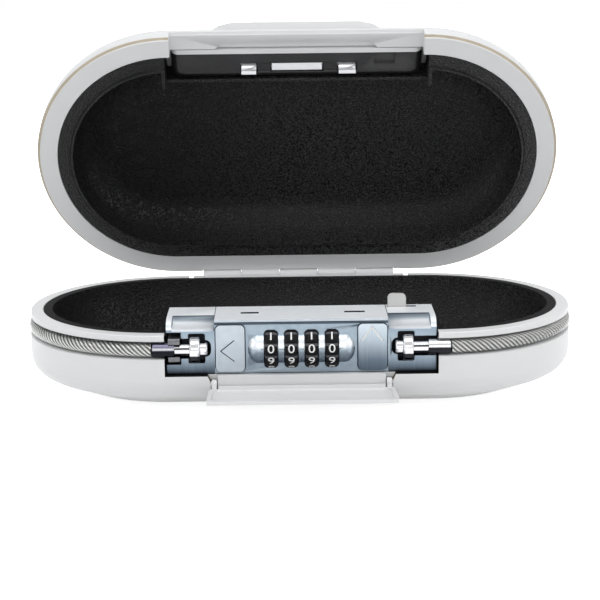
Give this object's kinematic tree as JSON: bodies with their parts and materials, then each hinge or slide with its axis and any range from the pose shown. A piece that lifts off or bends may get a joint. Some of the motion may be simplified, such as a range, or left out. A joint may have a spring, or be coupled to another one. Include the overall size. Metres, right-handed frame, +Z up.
{
  "type": "portable car safe",
  "caption": "Open two-shell box with rounded ends, cast dial lock, fold-down door over the dials and a steel cable round it.",
  "frame": {"origin": "centre of the flat underside of the lower shell", "axes": "+X to the right along the width, +Z up, front with the lock towards -Y"},
  "size_m": [0.2406, 0.1677, 0.1588],
  "materials": {
    "white_shell": "satin",
    "black_liner": "fine pebble grain",
    "black_plastic": "satin",
    "zinc_casting": "satin, fine cast grain",
    "steel": "bright",
    "chrome": "polished",
    "brass": "turned",
    "dial_black": "satin",
    "grey_plastic": "satin",
    "coated_cable": "stranded steel under clear vinyl"
  },
  "bodies": {
    "base": {"base_shell": "white_shell", "base_liner": "black_liner", "lock_housing": "zinc_casting", "lock_top_plate": "zinc_casting", "lock_back_plate": "steel", "lock_screw_1": "steel", "lock_screw_2": "steel", "lock_screw_3": "steel", "lock_screw_4": "steel", "cable_rope": "coated_cable", "cable_end_left": "chrome", "cable_end_right": "chrome", "lid_hinge_pin": "steel", "door_pin_left": "steel", "door_pin_right": "steel", "dial_spindle": "steel", "dial_spring": "steel", "latch_button_spring": "steel", "cable_button_spring": "steel"},
    "lid": {"lid_shell": "white_shell", "lid_liner": "black_liner", "latch_moulding": "black_plastic", "strike_plate": "steel", "strike_screw_left": "steel", "strike_screw_right": "steel"},
    "door": {"door": "white_shell"},
    "dial_1": {"dial_1": "dial_black", "dial_sleeve_1": "brass"},
    "dial_2": {"dial_2": "dial_black", "dial_sleeve_2": "brass"},
    "dial_3": {"dial_3": "dial_black", "dial_sleeve_3": "brass"},
    "dial_4": {"dial_4": "dial_black", "dial_sleeve_4": "brass"},
    "latch_button": {"latch_button": "zinc_casting"},
    "latch_slide": {"latch_slide": "steel"},
    "cable_button": {"cable_button": "zinc_casting"},
    "cable_jaw_upper": {"cable_jaw_upper": "steel"},
    "cable_jaw_lower": {"cable_jaw_lower": "steel"},
    "reset_tab": {"reset_tab": "grey_plastic"}
  },
  "joints": [
    {"name": "lid_hinge", "type": "hinge", "parent": "base", "child": "lid", "pos_m": [0, 0.0636, 0.03635], "axis": [-1, 0, 0], "range_deg": [-67, 24]},
    {"name": "door_hinge", "type": "hinge", "parent": "base", "child": "door", "pos_m": [0, -0.0609, 0.0152], "axis": [1, 0, 0], "range_deg": [-84, 0]},
    {"name": "dial_1_turn", "type": "hinge", "parent": "base", "child": "dial_1", "pos_m": [0, -0.0544, 0.0292], "axis": [1, 0, 0], "continuous": true},
    {"name": "dial_2_turn", "type": "hinge", "parent": "base", "child": "dial_2", "pos_m": [0, -0.0544, 0.0292], "axis": [1, 0, 0], "continuous": true},
    {"name": "dial_3_turn", "type": "hinge", "parent": "base", "child": "dial_3", "pos_m": [0, -0.0544, 0.0292], "axis": [1, 0, 0], "continuous": true},
    {"name": "dial_4_turn", "type": "hinge", "parent": "base", "child": "dial_4", "pos_m": [0, -0.0544, 0.0292], "axis": [1, 0, 0], "continuous": true},
    {"name": "latch_button_press", "type": "slide", "parent": "base", "child": "latch_button", "axis": [0, 1, 0], "range_m": [0, 0.002], "stiffness_N_per_m": 300, "springref_m": -0.002, "deforming": ["latch_button_spring"]},
    {"name": "latch_slide_move", "type": "slide", "parent": "base", "child": "latch_slide", "axis": [1, 0, 0], "range_m": [0, 0.002]},
    {"name": "cable_button_press", "type": "slide", "parent": "base", "child": "cable_button", "axis": [0, 1, 0], "range_m": [0, 0.002], "stiffness_N_per_m": 300, "springref_m": -0.002, "deforming": ["cable_button_spring"]},
    {"name": "cable_jaw_upper_lift", "type": "slide", "parent": "base", "child": "cable_jaw_upper", "axis": [0, 0, 1], "range_m": [0, 0.0016]},
    {"name": "cable_jaw_lower_drop", "type": "slide", "parent": "base", "child": "cable_jaw_lower", "axis": [0, 0, -1], "range_m": [0, 0.0016]},
    {"name": "reset_tab_slide", "type": "slide", "parent": "base", "child": "reset_tab", "axis": [1, 0, 0], "range_m": [0, 0.004]}
  ],
  "couplings": [
    {"joint": "latch_slide_move", "follows": "latch_button_press", "ratio": 1},
    {"joint": "cable_jaw_upper_lift", "follows": "cable_button_press", "ratio": 0.8},
    {"joint": "cable_jaw_lower_drop", "follows": "cable_button_press", "ratio": 0.8}
  ]
}
